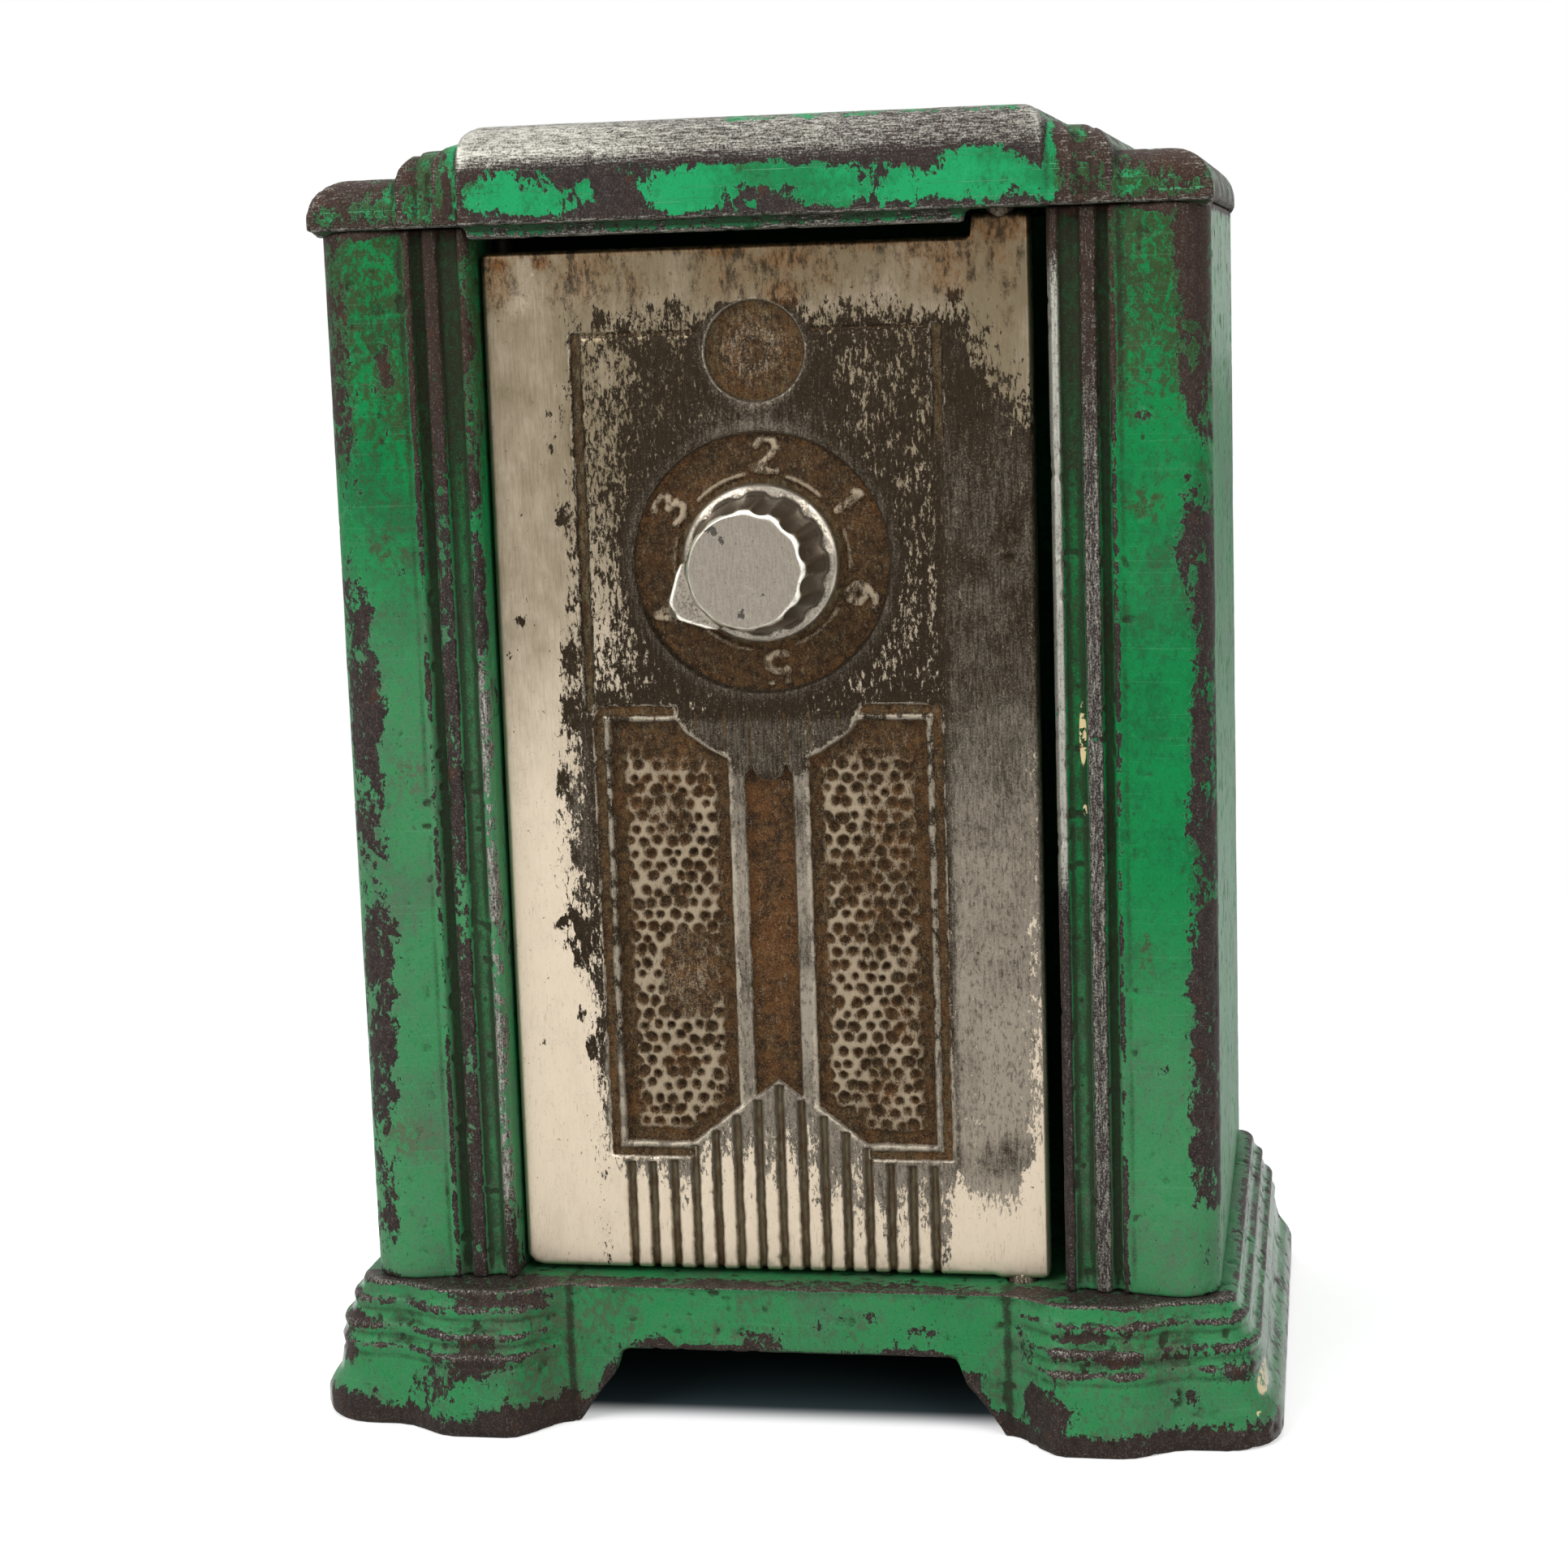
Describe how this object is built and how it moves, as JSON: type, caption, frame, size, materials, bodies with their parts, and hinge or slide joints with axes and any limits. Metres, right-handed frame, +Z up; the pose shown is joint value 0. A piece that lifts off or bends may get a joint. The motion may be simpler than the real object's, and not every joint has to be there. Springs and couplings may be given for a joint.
{
  "type": "toy coin bank",
  "caption": "Cast-iron toy coin bank shaped like a table radio, with a hinged combination-dial door, fluted side pilasters, a stepped cap with a coin slot and a footed base.",
  "frame": {"origin": "centre of the footprint on the floor, under the base", "axes": "+Z up, +Y from the door to the back, +X to the right of someone facing the door"},
  "size_m": [0.0864, 0.06, 0.1143],
  "materials": {
    "green_enamel": "worn gloss enamel over cast iron",
    "nickel_plate": "worn nickel plating over cast iron",
    "bright_steel": "plain turned or stamped steel",
    "dark_steel": "dull dark steel"
  },
  "bodies": {
    "case": {"base": "green_enamel", "cap": "green_enamel", "left_side": "green_enamel", "right_side": "green_enamel", "back_plate": "green_enamel", "tie_screws": "dark_steel"},
    "door": {"door": "nickel_plate", "hub_sleeve": "bright_steel", "spring_washer": "bright_steel", "front_spacer": "bright_steel", "rear_spacer": "bright_steel"},
    "dial": {"dial_knob": "nickel_plate", "dial_spindle": "bright_steel", "drive_wheel": "bright_steel", "drive_peg": "dark_steel", "spindle_nut": "dark_steel"},
    "rear_wheel": {"rear_tumbler": "bright_steel", "rear_pegs": "dark_steel"},
    "front_wheel": {"front_tumbler": "bright_steel", "front_peg": "dark_steel"}
  },
  "joints": [
    {"name": "door_swing", "type": "hinge", "parent": "case", "child": "door", "pos_m": [0.02055, -0.0207, 0], "axis": [0, 0, 1], "range_deg": [0, 100]},
    {"name": "dial_turn", "type": "hinge", "parent": "door", "child": "dial", "pos_m": [-0.0006, -0.022, 0.0768], "axis": [0, -1, 0], "continuous": true},
    {"name": "rear_wheel_turn", "type": "hinge", "parent": "door", "child": "rear_wheel", "pos_m": [-0.0006, -0.0137, 0.0768], "axis": [0, -1, 0], "continuous": true},
    {"name": "front_wheel_turn", "type": "hinge", "parent": "door", "child": "front_wheel", "pos_m": [-0.0006, -0.0159, 0.0768], "axis": [0, -1, 0], "continuous": true}
  ],
  "couplings": [
    {"joint": "rear_wheel_turn", "follows": "dial_turn", "ratio": 1},
    {"joint": "front_wheel_turn", "follows": "dial_turn", "ratio": 1}
  ]
}
